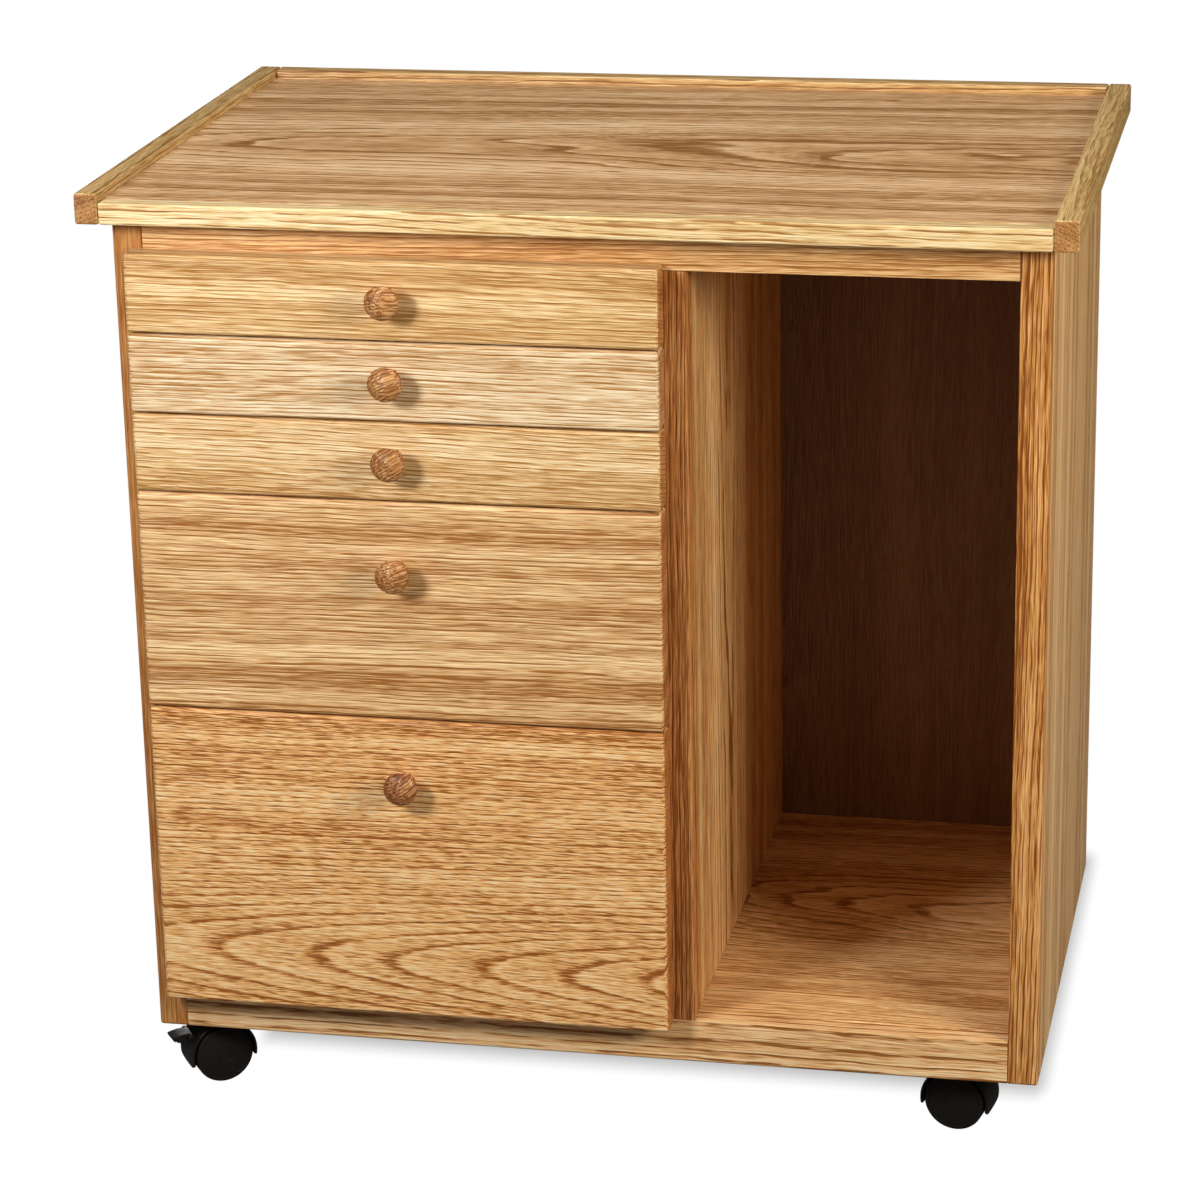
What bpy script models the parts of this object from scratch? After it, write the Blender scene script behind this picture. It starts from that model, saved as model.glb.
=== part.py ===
"""Art taboret: an oak cabinet on twin-wheel casters, with five drawers, an open bay and a lipped top.

Metres, +Z up. The origin is on the floor under the middle of the whole object. The drawers face -Y.
"""

import math

import bmesh
import bpy
from mathutils import Matrix, Vector

# The gap between pieces that touch, and how far a cutter runs past what it cuts
seat = 0.0003
overrun = 0.004

# Points of a turned shape that lie this close are made one
merge_distance = 0.00001

# Carcass
cabinet_width = 0.762
cabinet_depth = 0.480
cabinet_height = 0.717
panel_thickness = 0.019
back_thickness = 0.006
board_ease = 0.0008

# Face frame
frame_thickness = 0.019
outer_stile_width = 0.025
divider_stile_width = 0.032
top_rail_height = 0.0296
bottom_rail_height = 0.0384
bay_opening_width = 0.264

# Top
top_thickness = 0.018
edging_width = 0.0195
edging_height = 0.0255
side_overhang = 0.022
front_overhang = 0.026
back_overhang = 0.030
edging_ease = 0.0012

# Drawer fronts, which lie over the face frame
front_thickness = 0.0235
front_standoff = 0.0015
front_gap = 0.0015
front_overlap_left = 0.0095
front_overlap_right = 0.0145
front_overlap_top = 0.0062
front_overlap_bottom = 0.0014
shallow_front_height = 0.0654
middle_front_height = 0.1870
front_ease = 0.0025

# Drawer boxes and their bottoms
box_wall = 0.012
box_depth = 0.430
box_side_clearance = 0.0015
box_above_front_bottom = 0.006
box_below_front_top = 0.012
bottom_thickness = 0.005
bottom_above_box_edge = 0.006
bottom_groove_depth = 0.005

# Runners on the carcass, which stand in grooves in the drawer sides
runner_height = 0.012
runner_groove_depth = 0.007
runner_groove_start = 0.012

# Knobs
knob_radius = 0.0142
knob_length = 0.0255
knob_above_middle = 0.0035
middle_knob_below_top = 0.0573
bottom_knob_below_top = 0.0539

# Casters
caster_height = 0.062
caster_from_side = 0.0535
caster_rail_width = 0.056
caster_trail = 0.017
wheel_radius = 0.026
wheel_width = 0.0145
wheel_dome = 0.0016
wheel_edge = 0.0022
hub_depth = 0.011
axle_radius = 0.003
spine_thickness = 0.006
wheel_side_gap = 0.0005
hood_clearance = 0.0015
hood_wall = 0.0025
hood_skirt_height = 0.0205
hood_inset = 0.001
boss_radius = 0.0105
boss_depth = 0.020
stem_radius = 0.0055

# Brake lever on one caster
brake_angle = math.radians(146)
brake_pin_radius = 0.0012
brake_barrel_radius = 0.003
brake_width = 0.016
brake_lug_thickness = 0.003
brake_reach = 0.0165
brake_tip_height = 0.003

# Which way each caster points, as it was left when the cabinet was last rolled
caster_headings = {
    "front_left": math.radians(36),
    "front_right": math.radians(-10.7),
    "rear_left": math.radians(14),
    "rear_right": math.radians(-24),
}
braked_caster = "front_left"

# Sides of the round pieces
wheel_steps = 32
knob_steps = 24
pin_steps = 20
hood_steps = 44

# Knob outline from its flat back to the middle of its face: shares of the radius and of the length
knob_outline_shares = (
    (0.60, 0.00),
    (0.52, 0.10),
    (0.47, 0.28),
    (0.54, 0.42),
    (0.86, 0.55),
    (1.00, 0.68),
    (0.97, 0.80),
    (0.78, 0.92),
    (0.42, 0.99),
)

# Colours and roughness, by kind of wood or plastic
finishes = {
    "oak_front": ((0.62, 0.40, 0.19), 0.42),
    "oak_frame": ((0.50, 0.28, 0.12), 0.42),
    "oak_panel": ((0.60, 0.39, 0.18), 0.45),
    "oak_top": ((0.55, 0.36, 0.20), 0.38),
    "oak_edging": ((0.60, 0.42, 0.19), 0.40),
    "knob_oak": ((0.42, 0.21, 0.09), 0.35),
    "drawer_wood": ((0.70, 0.52, 0.32), 0.50),
    "plywood": ((0.66, 0.50, 0.32), 0.55),
    "black_plastic": ((0.012, 0.012, 0.012), 0.40),
}

# Sizes that follow from those above
knob_tip = front_standoff + front_thickness + seat + knob_length
middle_y = (cabinet_depth + back_overhang - knob_tip) / 2
bay_right = cabinet_width - outer_stile_width
bay_left = bay_right - bay_opening_width
inner_left = panel_thickness + seat
inner_right = cabinet_width - panel_thickness - seat
inner_front = frame_thickness + seat
inner_back = cabinet_depth - back_thickness - seat
carcass_top = cabinet_height - seat
rail_underside = cabinet_height - top_rail_height
divider_left = bay_left - panel_thickness
divider_stile_left = bay_left - divider_stile_width

front_left = outer_stile_width - front_overlap_left
front_right = divider_stile_left + front_overlap_right
front_width = front_right - front_left
fronts_top = rail_underside + front_overlap_top
fronts_bottom = bottom_rail_height - front_overlap_bottom
box_left = outer_stile_width + box_side_clearance
box_right = divider_stile_left - box_side_clearance

caster_rail_top = bottom_rail_height - panel_thickness - seat
hood_inner_radius = wheel_radius + hood_clearance
hood_radius = hood_inner_radius + hood_wall
wheel_inner_face = spine_thickness / 2 + wheel_side_gap
wheel_outer_face = wheel_inner_face + wheel_width


def clear_scene():
    for old in list(bpy.data.objects):
        bpy.data.objects.remove(old, do_unlink=True)


def new_collection(name, hidden=False):
    collection = bpy.data.collections.new(name)
    bpy.context.scene.collection.children.link(collection)
    collection.hide_render = hidden
    return collection


def new_empty(name, location, parent=None, turn=0.0):
    """An empty that carries pieces: its place is in its parent's frame, turned about Z."""
    empty = bpy.data.objects.new(name, None)
    empty.empty_display_size = knob_length
    empty.parent = parent
    empty.location = location
    empty.rotation_euler = (0, 0, turn)
    pieces.objects.link(empty)
    return empty


def add_piece(name, mesh, parent, location, finish, rotation=(0, 0, 0)):
    """A named sub-part with its own material, in its parent's frame."""
    piece = bpy.data.objects.new(name, mesh)
    piece.parent = parent
    piece.location = location
    piece.rotation_euler = rotation
    pieces.objects.link(piece)
    colour, roughness = finishes[finish]
    material = bpy.data.materials.new(name)
    material.use_nodes = True
    shader = material.node_tree.nodes["Principled BSDF"]
    shader.inputs["Base Color"].default_value = (*colour, 1)
    shader.inputs["Roughness"].default_value = roughness
    shader.inputs["Metallic"].default_value = 0
    piece.material_slots[0].link = "OBJECT"
    piece.material_slots[0].material = material
    return piece


def add_helper(name, mesh, parent=None, location=(0, 0, 0)):
    """A shape that only cuts or joins others."""
    helper = bpy.data.objects.new(name, mesh)
    helper.parent = parent
    helper.location = location
    helper.hide_render = True
    helper.display_type = "WIRE"
    cutters.objects.link(helper)
    return helper


def finished_mesh(name, shape):
    mesh = bpy.data.meshes.new(name)
    shape.to_mesh(mesh)
    shape.free()
    mesh.materials.append(None)
    return mesh


def block_mesh(name, size):
    shape = bmesh.new()
    bmesh.ops.create_cube(shape, size=1)
    bmesh.ops.scale(shape, vec=size, verts=shape.verts)
    return finished_mesh(name, shape)


def add_block(name, low, high, parent, finish, ease=board_ease):
    """A board between two opposite corners, with eased edges and its origin at its middle."""
    low, high = Vector(low), Vector(high)
    board = add_piece(name, block_mesh(name, high - low), parent, (low + high) / 2, finish)
    if ease:
        bevel = board.modifiers.new("eased edges", "BEVEL")
        bevel.width = ease
        bevel.segments = 1
        bevel.limit_method = "ANGLE"
    return board


def block_helper(name, low, high, parent=None):
    low, high = Vector(low), Vector(high)
    return add_helper(name, block_mesh(name, high - low), parent, (low + high) / 2)


def rod_mesh(name, radius, low, high, axis, steps):
    """A round bar along Y or Z, between two points of its axis."""
    shape = bmesh.new()
    bmesh.ops.create_cone(
        shape, cap_ends=True, segments=steps, radius1=radius, radius2=radius, depth=high - low
    )
    bmesh.ops.translate(shape, vec=(0, 0, (low + high) / 2), verts=shape.verts)
    if axis == "Y":
        bmesh.ops.rotate(shape, matrix=Matrix.Rotation(-math.pi / 2, 3, "X"), verts=shape.verts)
    return finished_mesh(name, shape)


def boolean(target, other, operation):
    modifier = target.modifiers.new(other.name, "BOOLEAN")
    modifier.operation = operation
    modifier.solver = "EXACT"
    modifier.object = other


def turned_mesh_edges(name, outline):
    """An outline of radius and height, from the top of a turned shape down its outer side."""
    mesh = bpy.data.meshes.new(name)
    edges = [(i, i + 1) for i in range(len(outline) - 1)]
    mesh.from_pydata([(radius, 0, height) for radius, height in outline], edges, [])
    mesh.materials.append(None)
    return mesh


def add_turned(name, outline, steps, parent, location, rotation, finish):
    mesh = turned_mesh_edges(name, outline)
    piece = add_piece(name, mesh, parent, location, finish, rotation)
    screw = piece.modifiers.new("turning", "SCREW")
    screw.axis = "Z"
    screw.angle = math.tau
    screw.steps = steps
    screw.render_steps = steps
    screw.use_merge_vertices = True
    screw.merge_threshold = merge_distance
    screw.use_smooth_shade = True
    return piece


def build_carcass(cabinet):
    side_back = cabinet_depth
    for name, left in (("left_side_panel", 0), ("right_side_panel", cabinet_width - panel_thickness)):
        add_block(
            name,
            (left, inner_front, 0),
            (left + panel_thickness, side_back, carcass_top),
            cabinet,
            "oak_panel",
        )
    add_block(
        "bottom_panel",
        (inner_left, inner_front, bottom_rail_height - panel_thickness),
        (inner_right, inner_back, bottom_rail_height),
        cabinet,
        "oak_panel",
    )
    add_block(
        "divider_panel",
        (divider_left, inner_front, bottom_rail_height + seat),
        (bay_left, inner_back, carcass_top),
        cabinet,
        "oak_panel",
    )
    add_block(
        "back_panel",
        (inner_left, inner_back + seat, 0),
        (inner_right, side_back, carcass_top),
        cabinet,
        "plywood",
    )


def build_face_frame(cabinet):
    for name, left in (("left_stile", 0), ("right_stile", bay_right)):
        add_block(
            name,
            (left, 0, 0),
            (left + outer_stile_width, frame_thickness, carcass_top),
            cabinet,
            "oak_frame",
        )
    rail_left = outer_stile_width + seat
    rail_right = bay_right - seat
    add_block(
        "top_rail",
        (rail_left, 0, rail_underside),
        (rail_right, frame_thickness, carcass_top),
        cabinet,
        "oak_front",
    )
    add_block(
        "bottom_rail",
        (rail_left, 0, 0),
        (rail_right, frame_thickness, bottom_rail_height),
        cabinet,
        "oak_front",
    )
    add_block(
        "divider_stile",
        (divider_stile_left, 0, bottom_rail_height + seat),
        (bay_left, frame_thickness, rail_underside - seat),
        cabinet,
        "oak_frame",
    )


def build_top(cabinet):
    """The panel, the raised edging at its sides and back, and the flush edging at its front."""
    left = -side_overhang
    right = cabinet_width + side_overhang
    front = -front_overhang
    back = cabinet_depth + back_overhang
    lip_top = cabinet_height + edging_height
    panel_top = cabinet_height + top_thickness
    between_left = left + edging_width + seat
    between_right = right - edging_width - seat
    for name, low_x in (("left_edging", left), ("right_edging", right - edging_width)):
        add_block(
            name,
            (low_x, front, cabinet_height),
            (low_x + edging_width, back, lip_top),
            cabinet,
            "oak_edging",
            edging_ease,
        )
    add_block(
        "back_edging",
        (between_left, back - edging_width, cabinet_height),
        (between_right, back, lip_top),
        cabinet,
        "oak_edging",
        edging_ease,
    )
    add_block(
        "front_edging",
        (between_left, front, cabinet_height),
        (between_right, front + edging_width, panel_top),
        cabinet,
        "oak_edging",
        edging_ease,
    )
    add_block(
        "top_panel",
        (between_left, front + edging_width + seat, cabinet_height),
        (between_right, back - edging_width - seat, panel_top),
        cabinet,
        "oak_top",
        0,
    )


def drawer_rows():
    """Each drawer's number, with its front's bottom and height and its knob's height above that bottom."""
    rows = []
    top = fronts_top
    for number in (1, 2, 3):
        bottom = top - shallow_front_height
        rows.append((number, bottom, shallow_front_height, shallow_front_height / 2 + knob_above_middle))
        top = bottom - front_gap
    bottom = top - middle_front_height
    rows.append((4, bottom, middle_front_height, middle_front_height - middle_knob_below_top))
    top = bottom - front_gap
    bottom_front_height = top - fronts_bottom
    rows.append((5, fronts_bottom, bottom_front_height, bottom_front_height - bottom_knob_below_top))
    return rows


def build_drawer(cabinet, number, bottom, height, knob_height):
    """A drawer in its own frame: from its front's left bottom corner, with Y from the face frame."""
    name = f"drawer_{number}"
    slide = new_empty(f"{name}_slide", (front_left, 0, bottom), cabinet)
    front_face = -front_standoff - front_thickness
    front = add_block(
        f"{name}_front",
        (0, front_face, 0),
        (front_width, -front_standoff, height),
        slide,
        "oak_front",
        front_ease,
    )
    front.modifiers["eased edges"].segments = 2

    left = box_left - front_left
    right = box_right - front_left
    box_front = seat - front_standoff
    box_bottom = box_above_front_bottom
    box_top = height - box_below_front_top
    box = add_block(
        f"{name}_box", (left, box_front, box_bottom), (right, box_depth, box_top), slide, "drawer_wood", 0
    )
    hollow = block_helper(
        f"{name}_hollow",
        (left + box_wall, box_front + box_wall, box_bottom - overrun),
        (right - box_wall, box_depth - box_wall, box_top + overrun),
        slide,
    )
    boolean(box, hollow, "DIFFERENCE")
    groove_floor = box_bottom + bottom_above_box_edge
    into_wall = box_wall - bottom_groove_depth
    bottom_slot = block_helper(
        f"{name}_bottom_slot",
        (left + into_wall, box_front + into_wall, groove_floor),
        (right - into_wall, box_depth - into_wall, groove_floor + bottom_thickness + 2 * seat),
        slide,
    )
    boolean(box, bottom_slot, "DIFFERENCE")
    into_wall += seat
    add_block(
        f"{name}_bottom",
        (left + into_wall, box_front + into_wall, groove_floor + seat),
        (right - into_wall, box_depth - into_wall, groove_floor + seat + bottom_thickness),
        slide,
        "plywood",
        0,
    )

    runner_middle = (box_bottom + box_top) / 2
    groove_low = runner_middle - runner_height / 2 - seat
    groove_high = runner_middle + runner_height / 2 + seat
    sides = (
        ("left", left - overrun, left + runner_groove_depth),
        ("right", right - runner_groove_depth, right + overrun),
    )
    for side, low_x, high_x in sides:
        groove = block_helper(
            f"{name}_{side}_groove",
            (low_x, runner_groove_start, groove_low),
            (high_x, box_depth + overrun, groove_high),
            slide,
        )
        boolean(box, groove, "DIFFERENCE")

    build_runners(cabinet, number, bottom + runner_middle)

    add_turned(
        f"{name}_knob",
        knob_outline(),
        knob_steps,
        slide,
        (front_width / 2, front_face - seat, knob_height),
        (math.pi / 2, 0, 0),
        "knob_oak",
    )


def build_runners(cabinet, number, middle_height):
    """The two strips on the carcass that carry a drawer."""
    low_z = middle_height - runner_height / 2
    high_z = middle_height + runner_height / 2
    reach = runner_groove_depth - seat
    spans = (
        ("left", inner_left, box_left + reach),
        ("right", box_right - reach, divider_left - seat),
    )
    for side, low_x, high_x in spans:
        add_block(
            f"runner_{number}_{side}",
            (low_x, inner_front, low_z),
            (high_x, inner_back, high_z),
            cabinet,
            "drawer_wood",
            0,
        )


def knob_outline():
    """From the middle of the knob's face, round its head and neck, to the middle of its flat back."""
    rim = [(knob_radius * across, knob_length * along) for across, along in reversed(knob_outline_shares)]
    return [(0, knob_length)] + rim + [(0, 0)]


def wheel_outline():
    """From the middle of the wheel's outer face, over its tread, to the blind end of its hub hole."""
    hole_radius = axle_radius + seat
    return [
        (0, wheel_width + wheel_dome),
        (wheel_radius / 2, wheel_width + wheel_dome * 3 / 4),
        (wheel_radius - wheel_edge * 2, wheel_width),
        (wheel_radius - wheel_edge / 3, wheel_width - wheel_edge),
        (wheel_radius, wheel_width - wheel_edge * 2),
        (wheel_radius, wheel_edge),
        (wheel_radius - wheel_edge / 2, 0),
        (hole_radius, 0),
        (hole_radius, hub_depth),
        (0, hub_depth),
    ]


def housing_mesh(name, with_brake):
    """A caster's hood, spine, axle and stem as one moulding, in the frame of its swivel axis."""
    axle = (-caster_trail, 0, wheel_radius)
    half_hood = wheel_outer_face - hood_inset
    hood = add_helper(name, rod_mesh(name, hood_radius, -half_hood, half_hood, "Y", hood_steps), None, axle)
    boss_top = caster_height - seat
    boss = add_helper(
        f"{name}_boss",
        rod_mesh(f"{name}_boss", boss_radius, boss_top - boss_depth, boss_top, "Z", wheel_steps),
    )
    boolean(hood, boss, "UNION")
    for side in (-1, 1):
        low, high = sorted((side * spine_thickness / 2, side * (half_hood + overrun)))
        cavity = add_helper(
            f"{name}_cavity",
            rod_mesh(f"{name}_cavity", hood_inner_radius, low, high, "Y", hood_steps),
            None,
            axle,
        )
        boolean(hood, cavity, "DIFFERENCE")
    reach = hood_radius + overrun
    below = block_helper(
        f"{name}_below",
        (-caster_trail - reach, -reach, wheel_radius - reach),
        (-caster_trail + reach, reach, hood_skirt_height),
    )
    boolean(hood, below, "DIFFERENCE")
    half_axle = wheel_inner_face + hub_depth - seat
    axle_rod = add_helper(
        f"{name}_axle",
        rod_mesh(f"{name}_axle", axle_radius, -half_axle, half_axle, "Y", pin_steps),
        None,
        axle,
    )
    boolean(hood, axle_rod, "UNION")
    stem_top = caster_height + caster_rail_top - seat
    stem = add_helper(
        f"{name}_stem",
        rod_mesh(f"{name}_stem", stem_radius, boss_top - boss_depth / 2, stem_top, "Z", pin_steps),
    )
    boolean(hood, stem, "UNION")
    if with_brake:
        add_brake_lugs(hood, name)
    return baked_mesh(hood)


def brake_pivot():
    """The middle of the brake lever's pin, just outside the hood, in the caster's frame."""
    away = hood_radius + seat + brake_barrel_radius
    return Vector(
        (away * math.cos(brake_angle) - caster_trail, 0, away * math.sin(brake_angle) + wheel_radius)
    )


def add_brake_lugs(hood, name):
    """Two round lugs beside the lever, each on a foot that runs into the hood, and the pin through them."""
    pivot = brake_pivot()
    inner = brake_width / 2 + seat
    outer = inner + brake_lug_thickness
    foot_depth = hood_radius + seat + brake_barrel_radius - hood_inner_radius - hood_wall / 2
    for side in (-1, 1):
        low, high = sorted((side * inner, side * outer))
        lug = add_helper(
            f"{name}_lug", rod_mesh(f"{name}_lug", brake_barrel_radius, low, high, "Y", pin_steps), None, pivot
        )
        boolean(hood, lug, "UNION")
        foot = add_helper(
            f"{name}_foot",
            block_mesh(f"{name}_foot", (foot_depth, high - low, brake_barrel_radius * 3 / 2)),
            None,
            pivot
            + Vector(
                (-math.cos(brake_angle) * foot_depth / 2, (low + high) / 2, -math.sin(brake_angle) * foot_depth / 2)
            ),
        )
        foot.rotation_euler = (0, -brake_angle, 0)
        boolean(hood, foot, "UNION")
    pin = add_helper(
        f"{name}_brake_pin",
        rod_mesh(f"{name}_brake_pin", brake_pin_radius, -outer, outer, "Y", pin_steps),
        None,
        pivot,
    )
    boolean(hood, pin, "UNION")


def baked_mesh(shape):
    """The shape with its modifiers applied, as a mesh in its parent's frame. The shape stays as a guide."""
    bpy.context.view_layer.update()
    evaluated = shape.evaluated_get(bpy.context.evaluated_depsgraph_get())
    mesh = bpy.data.meshes.new_from_object(evaluated)
    mesh.transform(Matrix.Translation(shape.location))
    return mesh


def build_brake(swivel, name):
    """A foot lever, in the frame of its pin, which points away from the hood."""
    pivot = brake_pivot()
    barrel = brake_barrel_radius
    outline = (
        (0, barrel),
        (-brake_reach / 2, barrel),
        (-brake_reach, brake_tip_height / 2),
        (-brake_reach, -brake_tip_height / 2),
        (-brake_reach * 2 / 3, -barrel),
        (-brake_reach / 2, -barrel * 2),
        (-barrel * 3 / 2, -barrel * 5 / 3),
        (-barrel, -barrel / 2),
    )
    shape = bmesh.new()
    half = brake_width / 2
    corners = [shape.verts.new((x, -half, z)) for x, z in outline]
    shape.faces.new(corners)
    grown = bmesh.ops.extrude_face_region(shape, geom=list(shape.faces))
    moved = [part for part in grown["geom"] if isinstance(part, bmesh.types.BMVert)]
    bmesh.ops.translate(shape, vec=(0, brake_width, 0), verts=moved)
    bmesh.ops.recalc_face_normals(shape, faces=shape.faces)
    lever = add_piece(name, finished_mesh(name, shape), swivel, pivot, "black_plastic")
    round_end = add_helper(
        f"{name}_barrel", rod_mesh(f"{name}_barrel", barrel, -half, half, "Y", pin_steps), swivel, pivot
    )
    boolean(lever, round_end, "UNION")
    bore = add_helper(
        f"{name}_bore",
        rod_mesh(f"{name}_bore", brake_pin_radius + seat, -half - overrun, half + overrun, "Y", pin_steps),
        swivel,
        pivot,
    )
    boolean(lever, bore, "DIFFERENCE")


def build_caster(cabinet, corner, x, y, shared_housing):
    """A twin-wheel caster: a hooded housing that swivels in the cabinet, and a wheel at each side of it."""
    name = f"caster_{corner}"
    swivel = new_empty(f"{name}_swivel", (x, y, -caster_height), cabinet, caster_headings[corner])
    add_piece(f"{name}_housing", shared_housing, swivel, (0, 0, 0), "black_plastic")
    for letter, side in (("a", -1), ("b", 1)):
        add_turned(
            f"{name}_wheel_{letter}",
            wheel_outline(),
            wheel_steps,
            swivel,
            (-caster_trail, side * wheel_inner_face, wheel_radius),
            (-side * math.pi / 2, 0, 0),
            "black_plastic",
        )
    if corner == braked_caster:
        build_brake(swivel, f"{name}_brake_lever")


def build_casters(cabinet):
    """The two rails under the bottom panel, with a hole for each stem, and the four casters."""
    left_x = caster_from_side
    right_x = cabinet_width - caster_from_side
    plain_housing = housing_mesh("caster_housing", False)
    braked_housing = housing_mesh("braked_caster_housing", True)
    rails = (
        ("front", inner_front, inner_front + caster_rail_width),
        ("rear", inner_back - caster_rail_width, inner_back),
    )
    for row, low_y, high_y in rails:
        middle = (low_y + high_y) / 2
        rail = add_block(
            f"{row}_caster_rail",
            (inner_left, low_y, 0),
            (inner_right, high_y, caster_rail_top),
            cabinet,
            "drawer_wood",
            0,
        )
        for side, x in (("left", left_x), ("right", right_x)):
            corner = f"{row}_{side}"
            hole_name = f"{corner}_stem_hole"
            hole_mesh = rod_mesh(
                hole_name, stem_radius + seat, -overrun, caster_rail_top + overrun, "Z", pin_steps
            )
            boolean(rail, add_helper(hole_name, hole_mesh, cabinet, (x, middle, 0)), "DIFFERENCE")
            shared = braked_housing if corner == braked_caster else plain_housing
            build_caster(cabinet, corner, x, middle, shared)


def shade_round_pieces():
    for piece in pieces.objects:
        if piece.type == "MESH" and ("wheel" in piece.name or "housing" in piece.name):
            piece.data.shade_smooth()
            piece.data.set_sharp_from_angle(angle=math.radians(35))


clear_scene()
pieces = new_collection("art_taboret")
cutters = new_collection("cutters", hidden=True)
cabinet_frame = new_empty("cabinet", (-cabinet_width / 2, -middle_y, caster_height))
build_carcass(cabinet_frame)
build_face_frame(cabinet_frame)
build_top(cabinet_frame)
for drawer_row in drawer_rows():
    build_drawer(cabinet_frame, *drawer_row)
build_casters(cabinet_frame)
shade_round_pieces()
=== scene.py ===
# %% [markdown]
# # An oak art taboret
# A taboret is the low cabinet that stands beside an easel: drawers for brushes and tubes, a tall bay
# for boards and bottles, and a top with a raised lip, so that nothing rolls off. This notebook gives
# it its finish. Boards get rounded edges and real grain, the knobs and casters are modelled finely,
# and a plain white studio is built around them.

# %% Load the plain cabinet
import math

import bmesh
import bpy
from mathutils import Matrix, Vector


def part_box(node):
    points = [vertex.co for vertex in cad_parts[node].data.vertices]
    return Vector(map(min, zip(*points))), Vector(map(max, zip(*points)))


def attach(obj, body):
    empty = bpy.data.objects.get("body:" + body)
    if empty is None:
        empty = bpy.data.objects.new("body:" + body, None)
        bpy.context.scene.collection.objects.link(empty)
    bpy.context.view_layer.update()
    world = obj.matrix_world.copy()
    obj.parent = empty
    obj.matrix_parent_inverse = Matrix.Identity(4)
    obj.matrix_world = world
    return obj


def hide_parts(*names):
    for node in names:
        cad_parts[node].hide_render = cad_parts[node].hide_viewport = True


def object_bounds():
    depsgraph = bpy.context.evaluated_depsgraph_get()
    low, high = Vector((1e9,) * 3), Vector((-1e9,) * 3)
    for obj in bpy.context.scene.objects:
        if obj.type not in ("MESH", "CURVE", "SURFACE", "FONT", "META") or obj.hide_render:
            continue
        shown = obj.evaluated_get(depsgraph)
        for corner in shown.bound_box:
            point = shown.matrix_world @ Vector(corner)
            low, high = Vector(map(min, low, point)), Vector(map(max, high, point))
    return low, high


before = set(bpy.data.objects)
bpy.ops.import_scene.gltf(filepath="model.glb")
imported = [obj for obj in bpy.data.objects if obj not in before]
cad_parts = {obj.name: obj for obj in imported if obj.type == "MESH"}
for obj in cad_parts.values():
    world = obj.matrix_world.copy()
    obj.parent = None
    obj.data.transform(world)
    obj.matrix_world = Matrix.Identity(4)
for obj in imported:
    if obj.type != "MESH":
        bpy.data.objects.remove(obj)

cad_low, cad_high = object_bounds()
print("pieces loaded:", len(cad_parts), "size:", [round(side, 3) for side in cad_high - cad_low])

# %% [markdown]
# ## The camera
# A camera is placed like a photographer: a standing point, a heading, a tilt and a small roll. Blender
# cameras look down their own -Z axis, so a camera that is turned 90 degrees about X looks at the
# horizon. We multiply the three turns as matrices, because the roll has to happen first, about the
# lens, and the heading last, about the vertical. The long lens is that of a product photograph, where
# parallel edges stay nearly parallel.

# %% Place the camera
camera_place = Vector((0.6337, -3.1369, 1.4847))
camera_heading = math.radians(11.964)
camera_tilt = math.radians(90 - 18.823)
camera_roll = math.radians(-1.167)
lens_mm = 115.47
sensor_mm = 36.0

camera_data = bpy.data.cameras.new("camera")
camera_data.lens = lens_mm
camera_data.sensor_width = sensor_mm
camera_data.sensor_fit = "HORIZONTAL"
camera = bpy.data.objects.new("camera", camera_data)
bpy.context.scene.collection.objects.link(camera)
camera.matrix_world = (
    Matrix.Translation(camera_place)
    @ Matrix.Rotation(camera_heading, 4, "Z")
    @ Matrix.Rotation(camera_tilt, 4, "X")
    @ Matrix.Rotation(camera_roll, 4, "Z")
)
bpy.context.scene.camera = camera
bpy.context.scene.view_settings.view_transform = "Standard"
print("camera stands", round((camera_place - (cad_low + cad_high) / 2).length, 2), "m from the cabinet")

# %% [markdown]
# ## Soft light
# The knobs tell where the light of the photograph stood. Their shadows fall to the right and down, and
# those of the lower knobs fall farther down than those of the upper ones, so the main softbox is near:
# a little over a metre in front of the drawers, to the left, and higher than the cabinet. That is also
# why the lowest drawer is darker than the highest. A second softbox at the right lights the side and
# reaches a hand's breadth into the bay, and a large one hangs overhead and lights the top. One
# behind, too low to shine on the top, shows the back when the cabinet is seen from there.
#
# A small function works out each lamp's power from the brightness that it should give a white card at
# its target, which is easier to think about than watts.

# %% Hang the softboxes
target = Vector((0, 0, (cad_low.z + cad_high.z) / 2))


def add_softbox(name, place, size, brightness, colour=(1, 1, 1)):
    """A square lamp that is aimed at the cabinet."""
    lamp = bpy.data.lights.new(name, "AREA")
    lamp.shape = "SQUARE"
    lamp.size = size
    lamp.color = colour
    away = Vector(place) - target
    lamp.energy = brightness * (math.pi * away.length) ** 2
    box = bpy.data.objects.new(name, lamp)
    box.location = place
    box.rotation_euler = away.to_track_quat("Z", "Y").to_euler()
    bpy.context.scene.collection.objects.link(box)
    return round(lamp.energy)


warm = (1.0, 0.92, 0.78)
softboxes = {
    "main": ((-0.80, -1.41, 1.26), 0.36, 0.54),
    "side": ((1.75, -1.25, 1.32), 0.75, 0.58, warm),
    "top": ((0.0, -0.30, 2.60), 1.50, 0.46),
    "back": ((-1.10, 2.60, 0.28), 0.80, 0.45),
}
for name, setting in softboxes.items():
    print(name, "softbox:", add_softbox(f"{name}_softbox", *setting), "W")

# %% [markdown]
# ## Materials are small programs
# Every finish below is a tree of shader nodes. A tree is quicker to read when each node is one line,
# so we write a helper that adds a node, sets its options and connects or fills its inputs. A second
# one does arithmetic.

# %% Helpers for shader trees
def add_node(tree, kind, inputs=None, **options):
    """A node with its options set. An input is filled with a value, or connected if it is a socket."""
    made = tree.nodes.new(kind)
    for option, value in options.items():
        setattr(made, option, value)
    for socket, value in (inputs or {}).items():
        if isinstance(value, bpy.types.NodeSocket):
            tree.links.new(value, made.inputs[socket])
        else:
            made.inputs[socket].default_value = value
    return made


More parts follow.
